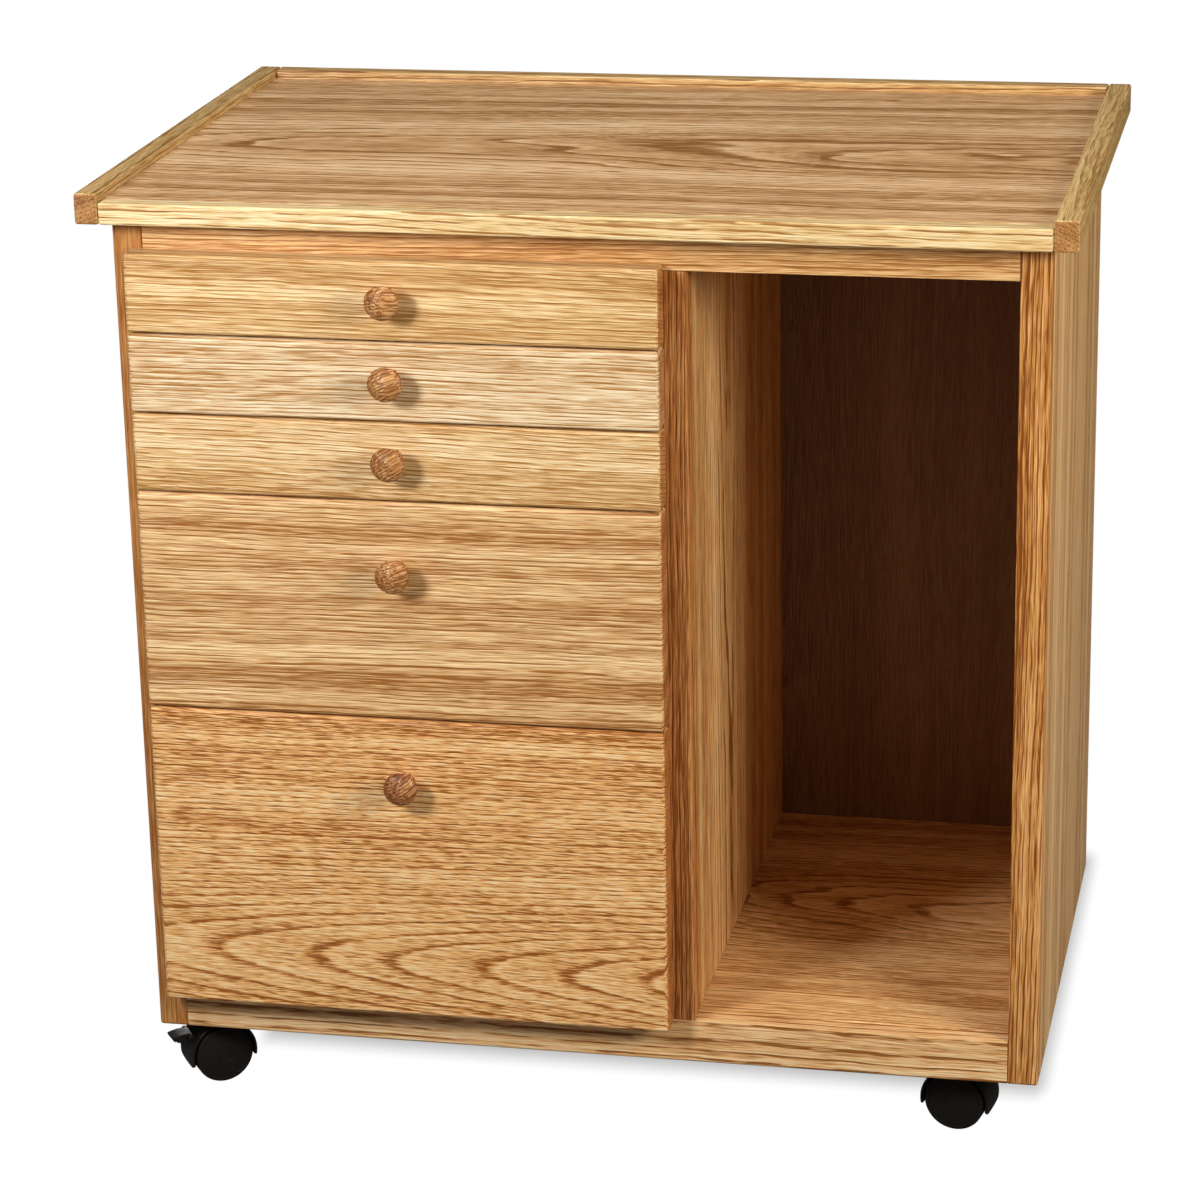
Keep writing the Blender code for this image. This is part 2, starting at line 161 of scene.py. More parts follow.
def calculate(tree, operation, *values):
    return add_node(tree, "ShaderNodeMath", dict(enumerate(values)), operation=operation).outputs[0]


def calculate_vector(tree, operation, *values):
    made = add_node(tree, "ShaderNodeVectorMath", operation=operation)
    for socket, value in enumerate(values):
        if isinstance(value, bpy.types.NodeSocket):
            tree.links.new(value, made.inputs[socket])
        elif isinstance(value, (int, float)):
            made.inputs["Scale"].default_value = value
        else:
            made.inputs[socket].default_value = value
    return made.outputs["Value" if operation in ("LENGTH", "DOT_PRODUCT", "DISTANCE") else "Vector"]


def spread(tree, value, low, high, to_low=0.0, to_high=1.0):
    """Stretches the range from low to high over the range from to_low to to_high, with soft ends."""
    ranges = {"Value": value, "From Min": low, "From Max": high, "To Min": to_low, "To Max": to_high}
    return add_node(
        tree, "ShaderNodeMapRange", ranges, interpolation_type="SMOOTHSTEP"
    ).outputs["Result"]


def noise(tree, where, scale, detail=2.0, roughness=0.5, output="Factor"):
    inputs = {"Vector": where, "Scale": scale, "Detail": detail, "Roughness": roughness}
    made = add_node(tree, "ShaderNodeTexNoise", inputs)
    return made.outputs[0 if output == "Factor" else 1]


def paint(code):
    """A colour written as on the web, as the linear light that a shader works with."""
    shades = [int(code[start : start + 2], 16) / 255 for start in (1, 3, 5)]
    return tuple(s / 12.92 if s <= 0.04045 else ((s + 0.055) / 1.055) ** 2.4 for s in shades) + (1.0,)


def new_material(name):
    """A material with its tree, its shader and the place on the object that patterns are read from."""
    material = bpy.data.materials.new(name)
    material.use_nodes = True
    tree = material.node_tree
    shader = tree.nodes["Principled BSDF"]
    place = add_node(tree, "ShaderNodeTexCoord").outputs["Object"]
    return material, tree, shader, place


print("a sample colour:", [round(channel, 3) for channel in paint("#D9B07A")])

# %% [markdown]
# ## The studio
# The floor is a grey diffuse plane that throws little light back up. Seen directly by the camera it
# turns into plain white light, except in a soft patch under the cabinet where the real shadow shows,
# which is how product photographs are retouched. The world does the same: the camera sees white, and
# everything else gets only a faint even light from all round.

# %% Lay the floor
floor_size = 14.0
shadow_low = Vector((-0.315, -0.092, 0))
shadow_high = Vector((0.365, 0.40, 0))
shadow_softness = 0.052
shadow_strength = 0.50
floor_grey = 0.20

bpy.ops.mesh.primitive_plane_add(size=floor_size, location=(0, 0, 0))
floor = bpy.context.object
floor.name = "studio_floor"
floor_material, tree, floor_shader, place = new_material("studio_grey")
floor_shader.inputs["Base Color"].default_value = (floor_grey, floor_grey, floor_grey, 1)
floor_shader.inputs["Roughness"].default_value = 0.9
floor_shader.inputs["Specular IOR Level"].default_value = 0.0

# How far a point of the floor is outside the patch, along X and along Y, and then in all
middle = (shadow_low + shadow_high) / 2
half = (shadow_high - shadow_low) / 2
from_middle = calculate_vector(tree, "ABSOLUTE", calculate_vector(tree, "SUBTRACT", place, middle))
outside = calculate_vector(tree, "SUBTRACT", from_middle, (half.x, half.y, 1))
outside = calculate_vector(tree, "MAXIMUM", outside, (0, 0, 0))
# The patch ends more quickly at its sides than in front
distance = calculate_vector(tree, "LENGTH", calculate_vector(tree, "MULTIPLY", outside, (2.4, 1, 1)))
patch = spread(tree, distance, 0.0, shadow_softness, shadow_strength, 0.0)
white_share = calculate(tree, "SUBTRACT", 1.0, patch)
seen = add_node(tree, "ShaderNodeLightPath").outputs["Is Camera Ray"]
white_share = calculate(tree, "MULTIPLY", white_share, seen)
glow = add_node(tree, "ShaderNodeEmission", {"Color": (1, 1, 1, 1), "Strength": 1.0}).outputs[0]
mixed = add_node(
    tree, "ShaderNodeMixShader", {0: white_share, 1: floor_shader.outputs[0], 2: glow}
).outputs[0]
tree.links.new(mixed, tree.nodes["Material Output"].inputs["Surface"])
floor.data.materials.append(floor_material)
print("floor patch with a shadow:", [round(side, 2) for side in (shadow_high - shadow_low)[:2]], "m")

# %% Light the world evenly
even_light = 0.04
world = bpy.data.worlds.new("studio")
bpy.context.scene.world = world
world.use_nodes = True
tree = world.node_tree
direct = add_node(tree, "ShaderNodeLightPath").outputs["Is Camera Ray"]
background = tree.nodes["Background"]
background.inputs["Color"].default_value = (1, 1, 1, 1)
tree.links.new(spread(tree, direct, 0.0, 1.0, even_light, 1.0), background.inputs["Strength"])
print("even light:", even_light)

# %% [markdown]
# ## Oak is a stack of growth rings
# A board is a slice of a log, so its grain is not a picture on its face: it is a solid pattern that
# the saw cut through. We build it that way. The log's heart is a line in space, and the distance from
# it gives the growth rings. A board whose face runs almost along the rings shows the nested arches
# that joiners call cathedrals, while one that cuts across them shows straight lines. End grain comes
# by itself.
#
# The pattern is read from Object coordinates, which are metres on the finished object, and a Mapping
# node lays the log: its location is a point of the heart and its rotation is the way the tree grew.
# A second function bends the log a little, because no tree is straight.

# %% Lay and bend the log
def lay_log(tree, place, heart, grain):
    """Coordinates of the log: X along its heart, and the other two across it."""
    turn = Vector(grain).to_track_quat("X", "Z").to_euler()
    inputs = {"Vector": place, "Location": heart, "Rotation": turn}
    return add_node(tree, "ShaderNodeMapping", inputs, vector_type="TEXTURE").outputs[0]


def bend(tree, log, stretch, amount, detail):
    """Pushes points of the log about, so that the rings waver. Stretch is how fast along each axis."""
    where = calculate_vector(tree, "MULTIPLY", log, stretch)
    push = noise(tree, where, 1.0, detail, output="Color")
    push = calculate_vector(tree, "SUBTRACT", push, (0.5, 0.5, 0.5))
    return calculate_vector(tree, "ADD", log, calculate_vector(tree, "SCALE", push, amount))


print("log helpers ready")

# %% [markdown]
# ## What is seen in a ring
# Each ring of red oak starts with a dark porous line and ends in paler dense wood. A colour ramp over
# the ring's fraction draws that profile, and noise that is stretched along the grain breaks the line
# into dashes. Finer streaks run everywhere along the fibres. Both are numbers around zero here, so
# that they can simply be added up later.

# %% Rings and streaks
ring_profile = (
    (0.0, 0.42), (0.30, 0.20), (0.42, 1.0), (0.50, 0.90), (0.62, 0.50), (0.82, 0.38), (1.0, 0.42),
)
ring_rest = 0.40


def ramp(tree, value, stops):
    """A colour ramp over a number. A stop is a position and a shade or a colour."""
    made = add_node(tree, "ShaderNodeValToRGB", {"Fac": value})
    elements = made.color_ramp.elements
    elements[0].position = stops[0][0]
    elements[1].position = stops[-1][0]
    for position, _ in stops[1:-1]:
        elements.new(position)
    for element, (_, shade) in zip(elements, stops):
        element.color = shade if isinstance(shade, tuple) else (shade, shade, shade, 1)
    return made.outputs[0]


def ring_lines(tree, bent, radius, ring, broken):
    """The porous line of each ring, broken into dashes. Rings grow wider and narrower with the years."""
    years = calculate(tree, "DIVIDE", radius, ring)
    weather = add_node(
        tree, "ShaderNodeTexNoise", {"W": radius, "Scale": 60.0, "Detail": 1.0}, noise_dimensions="1D"
    ).outputs[0]
    years = calculate(tree, "MULTIPLY_ADD", weather, 1.6, years)
    early = ramp(tree, calculate(tree, "FRACT", years), ring_profile)
    dashes = noise(tree, calculate_vector(tree, "MULTIPLY", bent, (22, 260, 260)), 1.0, 1.0)
    dashes = spread(tree, dashes, 0.40, 0.56, broken, 1.0)
    return calculate(tree, "MULTIPLY", calculate(tree, "SUBTRACT", early, ring_rest), dashes)


def fibre_streaks(tree, bent, stretch, low, high):
    """Streaks along the grain, from -0.5 to 0.5."""
    fibres = noise(tree, calculate_vector(tree, "MULTIPLY", bent, stretch), 1.0, 1.0, 0.4)
    return spread(tree, fibres, low, high, -0.5, 0.5)


print("ring profile:", ring_profile)

# %% [markdown]
# ## The finish in one function
# The layers are added to one number, which picks the colour from pale to dark. A clear satin lacquer
# lies over it: it sinks into the pores, which breaks up the shine, and end grain drinks more of it
# and comes out darker.

# %% The oak finish
grain_contrast = 1.2
broad_strength = 0.16


def oak(
    name, heart, grain=(1, 0, 0), light="#FFE2AE", middle="#E5B87C", dark="#AE7735", ring=0.0038,
    lines=1.35, streaks=0.25, fibres=0.35, bands=0.35, wander=0.010, wiggle=0.0016, broken=0.25,
    gloss=0.42, end_tone="#C08A55",
):
    """Lacquered red oak. Ring is the width of a growth ring, and wander is how far the rings waver."""
    material, tree, shader, place = new_material(name)
    log = lay_log(tree, place, heart, grain)
    bent = bend(tree, log, (2.2, 11, 11), wander, 2.0)
    bent = bend(tree, bent, (26, 60, 60), wiggle, 1.0)
    radius = calculate_vector(tree, "LENGTH", calculate_vector(tree, "MULTIPLY", bent, (0, 1, 1)))

    line = ring_lines(tree, bent, radius, ring, broken)
    streak = fibre_streaks(tree, bent, (18, 560, 560), 0.36, 0.64)
    fine = fibre_streaks(tree, bent, (45, 1250, 1250), 0.34, 0.66)
    broad = fibre_streaks(tree, bent, (4, 55, 55), 0.30, 0.70)
    band = add_node(
        tree, "ShaderNodeTexNoise", {"W": radius, "Scale": 34.0, "Detail": 2.0}, noise_dimensions="1D"
    ).outputs[0]
    band = spread(tree, band, 0.28, 0.72, -0.5, 0.5)

    depth = calculate(tree, "MULTIPLY", line, lines)
    for layer, strength in ((streak, streaks), (fine, fibres), (broad, broad_strength), (band, bands)):
        depth = calculate(tree, "MULTIPLY_ADD", layer, strength, depth)
    depth = calculate(tree, "MULTIPLY_ADD", depth, grain_contrast, 0.5)
    colour = ramp(tree, depth, ((0.0, paint(light)), (0.5, paint(middle)), (1.0, paint(dark))))

    normal = add_node(tree, "ShaderNodeTexCoord").outputs["Normal"]
    facing = calculate_vector(tree, "DOT_PRODUCT", normal, Vector(grain).normalized())
    end = spread(tree, calculate(tree, "ABSOLUTE", facing), 0.6, 0.95, 0.0, 0.7)
    mixed = {"Factor": end, "A": colour, "B": paint(end_tone)}
    finished = add_node(tree, "ShaderNodeMix", mixed, data_type="RGBA", blend_type="MULTIPLY")
    tree.links.new(finished.outputs["Result"], shader.inputs["Base Color"])

    tree.links.new(calculate(tree, "MULTIPLY_ADD", streak, 0.16, gloss), shader.inputs["Roughness"])
    height = calculate(tree, "MULTIPLY_ADD", line, 0.6, calculate(tree, "MULTIPLY_ADD", fine, 0.4, streak))
    bump = {"Height": height, "Strength": 0.55, "Distance": 0.0005}
    bump = add_node(tree, "ShaderNodeBump", bump, invert=True)
    tree.links.new(bump.outputs[0], shader.inputs["Normal"])
    shader.inputs["Specular IOR Level"].default_value = 0.35
    return material


def centre_of(node):
    low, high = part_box(node)
    return (low + high) / 2


def oak_for(node, heart, grain=(1, 0, 0), **look):
    """Oak for one board. Its log's heart is given from the middle of the board."""
    return oak(f"oak_{node}", centre_of(node) + Vector(heart), grain, **look)


print("oak ready")

# %% [markdown]
# ## Boards with rounded edges
# No real edge is perfectly sharp: sandpaper takes it off, and that thin round catches a line of
# light which tells the eye that the thing is solid. Each board starts as a cube stretched to the
# board's corners. The bevel operator then rounds its edges. On a large flat face next to a small
# round, smooth shading smears, so a Weighted Normal modifier keeps the flat face flat.

# %% Helpers for modelling
def select_only(piece=None):
    """Leaves only this piece selected and active, or nothing at all."""
    for thing in list(bpy.context.selected_objects):
        thing.select_set(False)
    if piece:
        piece.select_set(True)
        bpy.context.view_layer.objects.active = piece


def open_mesh(piece, kind="EDGE"):
    select_only(piece)
    bpy.ops.object.mode_set(mode="EDIT")
    bpy.ops.mesh.select_mode(type=kind)
    bpy.ops.mesh.select_all(action="DESELECT")


def close_mesh():
    bpy.ops.object.mode_set(mode="OBJECT")


def pick_edges(piece, wanted):
    """In edit mode, selects the edges whose middle and direction pass the test."""
    shape = bmesh.from_edit_mesh(piece.data)
    found = 0
    for edge in shape.edges:
        start, end = (corner.co for corner in edge.verts)
        if wanted((start + end) / 2, (end - start).normalized()):
            edge.select_set(True)
            found += 1
    bmesh.update_edit_mesh(piece.data)
    return found


def pick_faces(piece, wanted):
    """In edit mode, selects the faces whose middle and normal pass the test."""
    shape = bmesh.from_edit_mesh(piece.data)
    found = 0
    for face in shape.faces:
        if wanted(face.calc_center_median(), face.normal):
            face.select_set(True)
            found += 1
    bmesh.update_edit_mesh(piece.data)
    return found


def shade_evenly(piece, angle=40):
    """Smooth rounds beside flat faces."""
    select_only(piece)
    bpy.ops.object.shade_smooth_by_angle(angle=math.radians(angle))
    modifier = piece.modifiers.new("flat faces stay flat", "WEIGHTED_NORMAL")
    modifier.keep_sharp = True
    bpy.ops.object.modifier_apply(modifier=modifier.name)


def new_block(name, low, high):
    """A plain block between two corners, with its place in its mesh."""
    select_only()
    bpy.ops.mesh.primitive_cube_add(size=1, location=(low + high) / 2, scale=high - low)
    block = bpy.context.object
    block.name = block.data.name = name
    bpy.ops.object.transform_apply(location=True, rotation=True, scale=True)
    return block


def round_edges(piece, ease, steps, wanted):
    """Rounds the edges that pass the test, and says how many there were."""
    open_mesh(piece)
    found = pick_edges(piece, wanted)
    bpy.ops.mesh.bevel(offset=ease, offset_type="OFFSET", segments=steps, affect="EDGES")
    close_mesh()
    return found


def round_sharp_edges(piece, ease, steps=2):
    open_mesh(piece)
    bpy.ops.mesh.edges_select_sharp(sharpness=math.radians(60))
    bpy.ops.mesh.bevel(offset=ease, offset_type="OFFSET", segments=steps, affect="EDGES")
    close_mesh()


def dress(piece, material, body, nodes=()):
    """Gives a finished piece its material, its body and the plain pieces it stands for."""
    piece.data.materials.clear()
    piece.data.materials.append(material)
    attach(piece, body)
    if nodes:
        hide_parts(*nodes)


def copy_piece(piece, name, matrix):
    """A twin with a mesh of its own, moved by moving the mesh."""
    twin = piece.copy()
    twin.data = piece.data.copy()
    twin.name = twin.data.name = name
    twin.data.transform(matrix)
    bpy.context.scene.collection.objects.link(twin)
    return twin


def finish_plain(node, material):
    """Gives a plain piece its material. It keeps its shape."""
    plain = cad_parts[node]
    plain.data.materials.clear()
    plain.data.materials.append(material)


print("modelling helpers ready")

# %% [markdown]
# ## Drawer fronts
# The five fronts are thick boards that lie over the frame, with the softest edges on the whole
# cabinet. Three of them are the same size, so one is modelled and copied. Each one is cut from
# another place of a log: the first three show straight lines, the fourth has broad brown bands, and
# the lowest has the log's heart close behind it and leaning, which draws the row of arches.

# %% Model the fronts
front_round = 0.0034
front_steps = 5
same_fronts = (1, 2, 3)


def new_front(name, node):
    low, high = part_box(node)
    front = new_block(name, low, high)
    round_edges(front, front_round, front_steps, lambda middle, along: True)
    shade_evenly(front)
    return front


fronts = {}
for number in range(1, 6):
    node = f"drawer_{number}_front"
    name = f"drawer_{number}_face"
    if number in same_fronts[1:]:
        shift = centre_of(node) - centre_of("drawer_1_front")
        fronts[number] = copy_piece(fronts[1], name, Matrix.Translation(shift))
    else:
        fronts[number] = new_front(name, node)
print("fronts:", [front.name for front in fronts.values()])

# %% Cut the fronts from their logs
front_oaks = {
    1: oak_for(
        "drawer_1_front", (0.1, 0.07, 0.23), (1, 0.0, -0.012), light="#FFE2AC", middle="#DDB074"
    ),
    2: oak_for(
        "drawer_2_front", (-0.3, 0.05, -0.26), (1, 0.0, 0.004), light="#FFEFCC", middle="#EAC89A",
        wander=0.012,
    ),
    3: oak_for(
        "drawer_3_front", (0.5, 0.06, 0.15), (1, 0.02, -0.02), light="#FFE6B8", middle="#E6BC82",
        wander=0.015,
    ),
    4: oak_for(
        "drawer_4_front", (0.8, 0.12, -0.24), (1, 0.01, 0.012), light="#FFDFA8", middle="#E1B077",
        dark="#A2672A", bands=0.55, wander=0.014,
    ),
    5: oak_for(
        "drawer_5_front", (0.1, 0.052, -0.086), (1, -0.054, -0.012), light="#FFDEA8", middle="#F6BA74",
        dark="#9E5A1C", ring=0.0042, lines=0.9, streaks=0.2, fibres=0.5, bands=0.25, wander=0.005,
        wiggle=0.0008, broken=0.7,
    ),
}
for number, front in fronts.items():
    dress(front, front_oaks[number], f"drawer_{number}", [f"drawer_{number}_front"])
print("oak materials:", len(front_oaks))

# %% [markdown]
# ## The face frame
# Two outer stiles, a divider stile and two rails frame the openings. Joints between them are sanded
# flush, so those edges keep a hair of a round, while the outer edges are eased properly. The stiles
# stand upright, so their log does too: the grain vector points up.

# %% Model the face frame
frame_round = 0.0026
joint_round = 0.0005
frame_boards = {
    "left_stile": dict(
        heart=(-0.16, 0.03, 0.2), grain=(0.004, 0, 1), light="#D69E60", middle="#B8783A",
        dark="#8A4A18", lines=0.6,
    ),
    "right_stile": dict(
        heart=(0.10, 0.05, -0.3), grain=(0.012, 0.01, 1), light="#F6C284", middle="#D4944E",
        dark="#88470E", bands=0.6,
    ),
    # The divider stile's colours are darker and more orange than the other stiles: they paint extra shade
    # from the drawer fronts beside it, on top of the real shadow those fronts cast.
    "divider_stile": dict(
        heart=(-0.12, 0.04, 0.1), grain=(0.006, 0, 1), light="#F0B878", middle="#C98649", dark="#8C4E1A"
    ),
    "top_rail": dict(
        heart=(0.2, 0.09, 0.30), grain=(1, 0, 0.01), light="#FFD99A", middle="#DCA76A", dark="#A46A30"
    ),
    "bottom_rail": dict(
        heart=(-0.2, 0.05, 0.07), grain=(1, 0.01, -0.012), light="#FFE2B0", middle="#F2BC80",
        dark="#9A6128", ring=0.0075,
    ),
}

left_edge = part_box("left_stile")[0].x
right_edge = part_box("right_stile")[1].x
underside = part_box("bottom_rail")[0].z
front_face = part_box("left_stile")[0].y
edge_hair = 0.0001


def is_outer(middle, along):
    """Whether an edge of the face frame lies on its outline: its sides, its underside and their corners."""
    on_side = abs(middle.x - left_edge) < edge_hair or abs(middle.x - right_edge) < edge_hair
    on_underside = abs(middle.z - underside) < edge_hair
    in_front = abs(middle.y - front_face) < edge_hair
    return (in_front and (on_side or on_underside)) or (on_side and on_underside)


for node, look in frame_boards.items():
    low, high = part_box(node)
    board = new_block(f"{node}_board", low, high)
    outer = round_edges(board, frame_round, 4, is_outer)
    round_sharp_edges(board, joint_round)
    shade_evenly(board)
    dress(board, oak_for(node, **look), "cabinet", [node])
    print(node, "outer edges rounded:", outer)

# %% [markdown]
# ## The top and its lip
# Three strips stand proud of the top and keep things on it. The front strip is flush, so that a
# hand can sweep the top clean. The side strips run from front to back and show their end grain at
# the corners, a small orange square crossed by pale rays.

# %% Model the edging
edging_round = 0.0020
edging_looks = {
    "left_edging": dict(
        heart=(0.04, 0.2, -0.10), grain=(0.01, 1, 0), light="#EBCB8E", middle="#CBA368", dark="#94692F",
        lines=0.8,
    ),
    "right_edging": dict(
        heart=(-0.05, 0.1, -0.10), grain=(-0.01, 1, 0), light="#F4D698", middle="#D8B173",
        dark="#A2783C", lines=0.8,
    ),
    "back_edging": dict(
        heart=(0.3, 0.05, -0.09), grain=(1, 0.01, 0.01), light="#EFCF98", middle="#CDA266", dark="#8F5F33"
    ),
    "front_edging": dict(
        heart=(-0.1, 0.05, -0.05), grain=(1, 0.01, -0.008), light="#FFECC0", middle="#EECB8E",
        dark="#A87439", wander=0.014,
    ),
}
for node, look in edging_looks.items():
    low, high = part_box(node)
    strip = new_block(f"{node}_strip", low, high)
    round_edges(strip, edging_round, 4, lambda middle, along: True)
    shade_evenly(strip)
    dress(strip, oak_for(node, **look), "cabinet", [node])
print("strips:", len(edging_looks))

# %% Finish the panels
panel_looks = {
    "top_panel": dict(
        heart=(0.1, -0.02, -0.12), grain=(1, 0.01, 0.03), light="#FCD8AC", middle="#DAAB76",
        dark="#94622F", ring=0.0052, wander=0.03, bands=0.45, gloss=0.52,
    ),
    # The right side panel's colours are paler than the other oak: they paint extra light on that side,
    # beyond what the side softbox gives.
    "right_side_panel": dict(
        heart=(-0.3, 0.05, 0), grain=(0, 0.004, 1), light="#FFE0AE", middle="#F8C58A", dark="#CA955A",
        ring=0.011, lines=0.9, bands=0.6,
    ),
    "left_side_panel": dict(
        heart=(0.2, -0.04, 0.2), grain=(0.01, 0.004, 1), light="#E6BE88", middle="#D0A06A",
        dark="#A57644", lines=0.6,
    ),
    "divider_panel": dict(
        heart=(-0.14, -0.06, 0), grain=(0.008, 0.01, 1), light="#FBDDA8", middle="#E0AC6C", dark="#90592A"
    ),
    "bottom_panel": dict(
        heart=(0.2, 0.02, -0.11), grain=(1, 0.01, 0.04), light="#FFDDA8", middle="#E8B476",
        dark="#9C6228", wander=0.024,
    ),
    # The back is a darker board, and its colours are also darkened and evened out so that they paint the
    # deep shade inside the bay.
    "back_panel": dict(
        heart=(0.1, 0.12, 0), grain=(0.02, 0.03, 1), light="#8E7054", middle="#84644A", dark="#74543C",
        wander=0.024, lines=0.5,
    ),
}
for node, look in panel_looks.items():
    finish_plain(node, oak_for(node, **look))
print("panels:", list(panel_looks))

# %% [markdown]
# ## Knobs
# A knob is turned on a lathe, and the spin operator is a lathe. One vertex is extruded again and
# again to draw the outline in the plane of the lathe's axis, and the outline is then spun all the
# way round. A few listed points are enough, because a smooth curve is read through them.

# %% Turn the knob
knob_sides = 56
knob_outline_shares = (
    (0.60, 0.00), (0.52, 0.10), (0.475, 0.26), (0.54, 0.41), (0.80, 0.545), (0.965, 0.655),
    (1.00, 0.725), (0.96, 0.785), (0.78, 0.885), (0.42, 0.97), (0.0, 1.0),
)
curve_steps = 4
same_spot = 0.00001


def smooth_through(points, steps):
    """More points along a smooth curve through these ones."""
    ends = [points[0], *points, points[-1]]
    found = []
    for before, start, end, after in zip(ends, ends[1:], ends[2:], ends[3:]):
        for step in range(steps):
            t = step / steps
            found.append(
                start
                + (end - before) * t / 2
                + (before * 2 - start * 5 + end * 4 - after) * t**2 / 2
                + (start * 3 - before - end * 3 + after) * t**3 / 2
            )
    return found + [points[-1]]


def draw_chain(name, points):
    """A chain of points, left open in edit mode with all of it selected."""
    select_only()
    bpy.ops.mesh.primitive_plane_add(size=1, location=(0, 0, 0))
    piece = bpy.context.object
    piece.name = piece.data.name = name
    bpy.ops.object.mode_set(mode="EDIT")
    bpy.ops.mesh.select_mode(type="VERT")
    bpy.ops.mesh.select_all(action="SELECT")
    bpy.ops.mesh.merge(type="CENTER")
    bpy.ops.transform.translate(value=points[0])
    for start, end in zip(points, points[1:]):
        bpy.ops.mesh.extrude_region_move(TRANSFORM_OT_translate={"value": end - start})
    bpy.ops.mesh.select_all(action="SELECT")
    return piece


def turn_outline(name, points, centre, axis, sides):
    """Draws a chain of points and spins it round an axis into a closed shape."""
    piece = draw_chain(name, points)
    bpy.ops.mesh.spin(steps=sides, angle=math.tau, center=centre, axis=axis)
    bpy.ops.mesh.select_all(action="SELECT")
    bpy.ops.mesh.remove_doubles(threshold=same_spot)
    bpy.ops.mesh.normals_make_consistent(inside=False)
    close_mesh()
    return piece


knob_low, knob_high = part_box("drawer_1_knob")
knob_radius = (knob_high.x - knob_low.x) / 2
knob_length = knob_high.y - knob_low.y
knob_base = Vector(((knob_low.x + knob_high.x) / 2, knob_high.y, (knob_low.z + knob_high.z) / 2))
coarse = [
    knob_base + Vector((knob_radius * across, -knob_length * along, 0))
    for across, along in knob_outline_shares
]
outline = [knob_base, *smooth_through(coarse, curve_steps)]
first_knob = turn_outline("drawer_1_handle", outline, knob_base, (0, 1, 0), knob_sides)
shade_evenly(first_knob, 50)
print("knob:", len(first_knob.data.polygons), "faces, radius", round(knob_radius * 1000, 1), "mm")

# %% Fit a knob to each drawer
knob_grain = {1: (1, 0.5, -0.1), 2: (1, 0.3, 0.35), 3: (1, 0.5, 0.5), 4: (1, 0.7, 0.25), 5: (0.7, 0.8, 0.6)}
knob_colours = dict.fromkeys(knob_grain, dict(light="#DCA870", middle="#B0763F", dark="#7A461C"))
knob_colours[5] = dict(light="#D29C66", middle="#9C6236", dark="#683412")
for number, grain in knob_grain.items():
    node = f"drawer_{number}_knob"
    shift = centre_of(node) - centre_of("drawer_1_knob")
    knob = first_knob if number == 1 else copy_piece(
        first_knob, f"drawer_{number}_handle", Matrix.Translation(shift)
    )
    look = oak_for(
        node, (0.02, 0.03, 0.05 + number * 0.01), grain, ring=0.0026, lines=1.3, streaks=0.5,
        wander=0.004, gloss=0.32, end_tone="#D9B08A", **knob_colours[number],
    )
    dress(knob, look, f"drawer_{number}", [node])
print("knobs:", len(knob_grain))

# %% [markdown]
# ## Drawer boxes
# A drawer box is four boards, and its joints show when the drawer is pulled out. The plain model has
# them in one piece, with its grooves already cut. A block is laid over the part that is to be kept,
# and a Boolean modifier set to Intersect keeps what both have in common. It works even where a face
# of the block lies exactly on a face of the box, which is where the bisect operator leaves holes.
# The upper edges are rounded afterwards, where a hand reaches in.

# %% Saw the boxes into boards
box_wall = 0.012
rim_round = 0.0022
rim_steps = 3
runner_round = 0.0004
sawn_grain = dict(light="#F3DDB4", middle="#E6C997", dark="#C39B66", lines=0.35, bands=0.25, gloss=0.5)
pale_along_y = oak("pale_oak_sides", (0.3, 0.0, 0.2), (0, 1, 0.01), **sawn_grain)
pale_along_x = oak("pale_oak_ends", (0.0, 0.3, 0.2), (1, 0, 0.01), **sawn_grain)


def cut_with(piece, tool, operation):
    """Applies a Boolean modifier to a piece. The tool is used up."""
    modifier = piece.modifiers.new("cut", "BOOLEAN")
    modifier.operation = operation
    modifier.object = tool
    select_only(piece)
    bpy.ops.object.modifier_apply(modifier=modifier.name)
    bpy.data.objects.remove(tool)


def merge_corners(piece):
    """Opens the mesh with all of it selected, and merges corners that lie on one spot."""
    open_mesh(piece, "VERT")
    bpy.ops.mesh.select_all(action="SELECT")
    bpy.ops.mesh.remove_doubles(threshold=same_spot)


def sawn_board(name, node, low, high):
    """The part of a plain piece that lies between two corners, as a piece of its own."""
    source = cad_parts[node]
    board = bpy.data.objects.new(name, source.data.copy())
    board.data.transform(source.matrix_world)
    bpy.context.scene.collection.objects.link(board)
    merge_corners(board)
    close_mesh()
    cut_with(board, new_block("keeper", low, high), "INTERSECT")
    # The plain piece brings its own shading directions along, which no longer fit
    bpy.ops.mesh.customdata_custom_splitnormals_clear()
    merge_corners(board)
    bpy.ops.mesh.dissolve_limited(angle_limit=math.radians(1))
    bpy.ops.mesh.normals_make_consistent(inside=False)
    close_mesh()
    return board


def box_boards(number):
    """The two sides and the two ends of a drawer box."""
    node = f"drawer_{number}_box"
    low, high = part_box(node)
    spare = Vector((box_wall, box_wall, box_wall))
    left_wall = low.x + box_wall
    right_wall = high.x - box_wall
    middle = (low.y + high.y) / 2
    below = low - spare
    above = high + spare
    cuts = {
        "left": (below, Vector((left_wall, above.y, above.z))),
        "right": (Vector((right_wall, below.y, below.z)), above),
        "near": (Vector((left_wall, below.y, below.z)), Vector((right_wall, middle, above.z))),
        "far": (Vector((left_wall, middle, below.z)), Vector((right_wall, above.y, above.z))),
    }
    boards = {}
    for side, corners in cuts.items():
        board = sawn_board(f"drawer_{number}_box_{side}", node, *corners)
        lengthwise = Vector((0, 1, 0)) if side in ("left", "right") else Vector((1, 0, 0))
        round_edges(
            board, rim_round, rim_steps,
            lambda spot, along: spot.z > high.z - edge_hair and abs(along.dot(lengthwise)) > 0.9,
        )
        shade_evenly(board)
        boards[side] = board
    return boards


